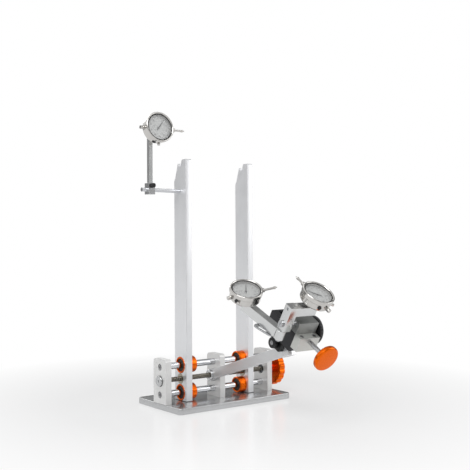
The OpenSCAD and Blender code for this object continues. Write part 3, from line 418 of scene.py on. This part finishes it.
def needle_cap(g):
    bm = bmesh.new()
    lathe([(0, -0.0056), (0.0011, -0.0056), (0.0011, -0.0051), (0.0007, -0.0048), (0, -0.00475)],
          32, bm)
    piece(g + "_needle_cap", bm, MATERIALS["gauge_chrome"], g + "_needle",
          GAUGE_FRAMES[g])


# Case screw: where it starts from the gauge's axis, its height, and its turn about the axis
SCREW_START = 0.0271
SCREW_Z = -0.0135
SCREW_TURN = {"lateral": 205, "radial": 150, "centring": 250}
DIAL_TURN = {"lateral": 0, "radial": -90, "centring": 0}
for g in GAUGES:
    dial_print(g)
    case_screw(g)
    gasket(g)
    needle_cap(g)


# ---------------------------------------------------------------- spindle

MECH_Y, MID_Z = (joints["handwheel_turn"]["pos_m"][i] for i in (1, 2))


def spindle():
    """Spindle with its thread between the end journals."""
    low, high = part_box("spindle")
    r, depth, pitch, steps, rows_a_turn = 0.005, 0.0007, 0.004, 40, 10
    journal = 0.004
    x0, x1 = low.x + 0.0131, 0.1139
    angles = [2 * math.pi * i / steps for i in range(steps)]
    bm = bmesh.new()

    def wall(a, b):
        for i in range(steps):
            j = (i + 1) % steps
            bm.faces.new((a[i], a[j], b[j], b[i]))

    rows = round((x1 - x0) / pitch * rows_a_turn)
    rings = []
    for k in range(rows + 1):
        x = x0 + (x1 - x0) * k / rows
        ring_verts = []
        for i, a in enumerate(angles):
            phase = (x / pitch - i / steps) % 1
            crest = min(1, max(0, abs(phase - 0.5) * 5 - 0.75))
            radius = r - depth * (1 - crest)
            ring_verts.append(bm.verts.new((x, radius * math.cos(a), radius * math.sin(a))))
        rings.append(ring_verts)
    for a, b in zip(rings, rings[1:]):
        wall(a, b)
    for end, far in ((rings[0], low.x), (rings[-1], high.x)):
        x = end[0].co.x
        inner = [bm.verts.new((x, journal * math.cos(a), journal * math.sin(a))) for a in angles]
        outer = [bm.verts.new((far, v.co.y, v.co.z)) for v in inner]
        wall(end, inner)
        wall(inner, outer)
        bm.faces.new(outer)
    obj = piece("threaded_spindle", bm, MATERIALS["spindle_steel"], "spindle",
                Matrix.Translation((0, MECH_Y, MID_Z)), smooth=50)
    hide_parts("spindle")


spindle()

# ---------------------------------------------------------------- small parts


# Slotted plate: height above the head's slide, turn, and distance from the arm's pivot
TAB_N, TAB_TURN, TAB_SHIFT = 0.0335, 115, 0.018


def knob_insert():
    """Steel end of the clamp knob's insert."""
    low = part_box("clamp_knob")[0]
    y, z = joints["clamp_knob_turn"]["pos_m"][1:]
    bm = lathe([(0, 0.0006), (0.0036, 0.0006), (0.0042, 0.0002), (0.0042, -0.0006),
                (0, -0.0006)], 48)
    piece("clamp_knob_insert", bm, MATERIALS["screw_steel"], "clamp_knob",
          frame_of((low.x, y, z), (-1, 0, 0), (0, 0, 1)))


def cap_shade_ring():
    """Dark ring round the spindle's end cap: painted shade standing in for the shadow in the bore
    round the cap.
    """
    low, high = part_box("spindle_end_cap")
    r = (high.z - low.z) / 2
    bm = bmesh.new()
    ring(bm, r - 0.0004, r + 0.0006, 0.0, 0.0005)
    piece("cap_shade_ring", bm, RUBBER, "spindle",
          frame_of((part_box("left_block")[0].x, MECH_Y, MID_Z), (-1, 0, 0), (0, 0, 1)))


def stadium(x0, x1, r, steps=14):
    """Outline of a straight slot with round ends, from x0 to x1 between the end centres."""
    points = []
    for centre, start in ((x1, -90), (x0, 90)):
        for i in range(steps + 1):
            a = math.radians(start + 180 * i / steps)
            points.append((centre + r * math.cos(a), r * math.sin(a)))
    return points


def head_height(point):
    """Height of a point above the head's slide, along the head's own upward axis."""
    up = Vector(joints["lateral_arm_swing"]["axis"]).normalized()
    return (Vector(point) - Vector(joints["head_tilt"]["pos_m"])).dot(up)


def tab_plate():
    """Slotted steel plate just below the lateral gauge's arm. Nothing carries it yet."""
    pivot = joints["lateral_arm_swing"]
    thick = 0.0022
    outline = stadium(0.0, 0.024, 0.0075)
    slot_line = stadium(0.009, 0.021, 0.0034)
    bm = bmesh.new()
    loops = [[bm.verts.new((x, y, z)) for x, y in points]
             for points, z in ((outline, 0), (outline, thick), (slot_line, thick), (slot_line, 0))]
    for a, b in zip(loops, loops[1:] + loops[:1]):
        for i in range(len(a)):
            j = (i + 1) % len(a)
            bm.faces.new((a[i], a[j], b[j], b[i]))
    place = (frame_of(pivot["pos_m"], pivot["axis"], (1, 0, 0))
             @ Matrix.Translation((0, 0, TAB_N - head_height(pivot["pos_m"])))
             @ Matrix.Rotation(math.radians(TAB_TURN), 4, "Z")
             @ Matrix.Translation((TAB_SHIFT, 0, 0)))
    piece("tab_plate", bm, MATERIALS["bracket_screw_steel"], "lateral",
          place, smooth=30)


knob_insert()
# dark ring of painted shade round the spindle's end cap
cap_shade_ring()
tab_plate()

# ---------------------------------------------------------------- floor, light and camera

def floor():
    bm = bmesh.new()
    bmesh.ops.create_grid(bm, x_segments=1, y_segments=1, size=30)
    mesh = bpy.data.meshes.new("floor")
    bm.to_mesh(mesh)
    bm.free()
    n = Nodes("floor")
    n.link(n.tint(n.noise(3), (0.86, 0.86, 0.87, 1), (0.88, 0.88, 0.885, 1)),
           n.shader.inputs["Base Color"])
    n.shader.inputs["Roughness"].default_value = 0.22
    n.shader.inputs["Specular IOR Level"].default_value = 0.5
    glow = n.add("ShaderNodeEmission")
    glow.inputs["Strength"].default_value = 1.0
    path = n.add("ShaderNodeLightPath")
    seen = path.outputs["Is Camera Ray"]
    for kind in ("Is Glossy Ray", "Is Transmission Ray"):
        either = n.add("ShaderNodeMath", operation="MAXIMUM")
        n.link(seen, either.inputs[0])
        n.link(path.outputs[kind], either.inputs[1])
        seen = either.outputs[0]
    away = n.add("ShaderNodeVectorMath", operation="LENGTH")
    n.link(n.coord, away.inputs[0])
    white = n.spread(away.outputs["Value"], 0.3, 0.75, 0.5, 1.0)
    share = n.add("ShaderNodeMath", operation="MULTIPLY")
    n.link(seen, share.inputs[0])
    n.link(white, share.inputs[1])
    mix = n.add("ShaderNodeMixShader")
    n.link(share.outputs[0], mix.inputs[0])
    n.link(n.shader.outputs[0], mix.inputs[1])
    n.link(glow.outputs[0], mix.inputs[2])
    n.link(mix.outputs[0], n.tree.nodes["Material Output"].inputs["Surface"])
    mesh.materials.append(n.material)
    obj = bpy.data.objects.new("floor", mesh)
    bpy.context.scene.collection.objects.link(obj)


# What polished metal sees: studio walls by direction, and a darker line near the floor
AROUND = [(0.0, 0.95), (0.14, 1.0), (0.2, 0.95), (0.235, 0.45), (0.27, 0.5), (0.32, 1.0),
          (0.46, 1.0), (0.51, 0.28), (0.67, 0.28), (0.73, 1.0), (0.93, 1.0), (1.0, 0.95)]
HORIZON = [(0.0, 0.6), (0.03, 0.3), (0.17, 0.3), (0.3, 1.0), (1.0, 1.0)]


def world():
    w = bpy.data.worlds.new("studio")
    bpy.context.scene.world = w
    w.use_nodes = True
    tree = w.node_tree
    tree.nodes.clear()

    def add(kind, **settings):
        node = tree.nodes.new(kind)
        for k, v in settings.items():
            setattr(node, k, v)
        return node

    def ramp_of(value, stops):
        node = add("ShaderNodeValToRGB")
        ramp = node.color_ramp
        ramp.interpolation = "EASE"
        ramp.elements[0].position, ramp.elements[1].position = stops[0][0], stops[-1][0]
        for element, (_, v) in ((ramp.elements[0], stops[0]), (ramp.elements[1], stops[-1])):
            element.color = (v, v, v, 1)
        for place, v in stops[1:-1]:
            ramp.elements.new(place).color = (v, v, v, 1)
        tree.links.new(value, node.inputs["Fac"])
        return node.outputs["Color"]

    coord = add("ShaderNodeTexCoord")
    split = add("ShaderNodeSeparateXYZ")
    tree.links.new(coord.outputs["Generated"], split.inputs[0])
    around = add("ShaderNodeMath", operation="ARCTAN2")
    tree.links.new(split.outputs["Y"], around.inputs[0])
    tree.links.new(split.outputs["X"], around.inputs[1])
    turn = add("ShaderNodeMapRange")
    turn.inputs["From Min"].default_value = -math.pi
    turn.inputs["From Max"].default_value = math.pi
    tree.links.new(around.outputs[0], turn.inputs["Value"])
    bands = ramp_of(turn.outputs[0], AROUND)
    low = ramp_of(split.outputs["Z"], HORIZON)
    darker = add("ShaderNodeMix", data_type="RGBA", blend_type="MULTIPLY")
    darker.inputs["Factor"].default_value = 1
    tree.links.new(bands, darker.inputs["A"])
    tree.links.new(low, darker.inputs["B"])
    height = add("ShaderNodeMapRange")
    for k, v in zip(("From Min", "From Max"), (0.8, 0.97)):
        height.inputs[k].default_value = v
    tree.links.new(split.outputs["Z"], height.inputs["Value"])
    lift = add("ShaderNodeMix", data_type="RGBA")
    tree.links.new(height.outputs[0], lift.inputs["Factor"])
    tree.links.new(darker.outputs["Result"], lift.inputs["A"])
    lift.inputs["B"].default_value = (0.8, 0.8, 0.8, 1)

    glossy = add("ShaderNodeBackground")
    tree.links.new(lift.outputs["Result"], glossy.inputs[0])
    soft = add("ShaderNodeBackground")
    soft.inputs[0].default_value = (1, 1, 1, 1)
    soft.inputs[1].default_value = 0.62
    white = add("ShaderNodeBackground")
    white.inputs[0].default_value = (1, 1, 1, 1)
    path = add("ShaderNodeLightPath")
    either = add("ShaderNodeMath", operation="MAXIMUM")
    tree.links.new(path.outputs["Is Glossy Ray"], either.inputs[0])
    tree.links.new(path.outputs["Is Transmission Ray"], either.inputs[1])
    first = add("ShaderNodeMixShader")
    tree.links.new(either.outputs[0], first.inputs[0])
    tree.links.new(soft.outputs[0], first.inputs[1])
    tree.links.new(glossy.outputs[0], first.inputs[2])
    last = add("ShaderNodeMixShader")
    tree.links.new(path.outputs["Is Camera Ray"], last.inputs[0])
    tree.links.new(first.outputs[0], last.inputs[1])
    tree.links.new(white.outputs[0], last.inputs[2])
    out = add("ShaderNodeOutputWorld")
    tree.links.new(last.outputs[0], out.inputs[0])


def lamp(name, place, target, size, power):
    data = bpy.data.lights.new(name, "AREA")
    data.shape = "RECTANGLE"
    data.size, data.size_y = size
    data.energy = power
    obj = bpy.data.objects.new(name, data)
    bpy.context.scene.collection.objects.link(obj)
    obj.location = place
    obj.rotation_euler = (Vector(target) - Vector(place)).to_track_quat("-Z", "Y").to_euler()


def camera():
    data = bpy.data.cameras.new("camera")
    data.lens = 59.95
    data.sensor_width = 36
    obj = bpy.data.objects.new("camera", data)
    bpy.context.scene.collection.objects.link(obj)
    forward = Vector((0.60209, 0.79823, 0.01766))
    right = Vector((0.79840, -0.60210, -0.00573))
    up = Vector((-0.00607, -0.01755, 0.99983))
    m = Matrix((right, up, -forward)).transposed().to_4x4()
    m.translation = Vector((-0.94095, -1.31873, 0.31261))
    obj.matrix_world = m
    bpy.context.scene.camera = obj


floor()
world()
lamp("key", (-1.3, -1.2, 1.9), (0, -0.1, 0.2), (1.4, 1.0), 22)
lamp("fill", (1.6, -1.4, 1.0), (0, -0.1, 0.2), (1.2, 1.2), 8)
lamp("back", (0.4, 1.8, 1.6), (0, 0, 0.25), (1.6, 0.8), 12)
camera()
bpy.context.scene.view_settings.view_transform = "Standard"
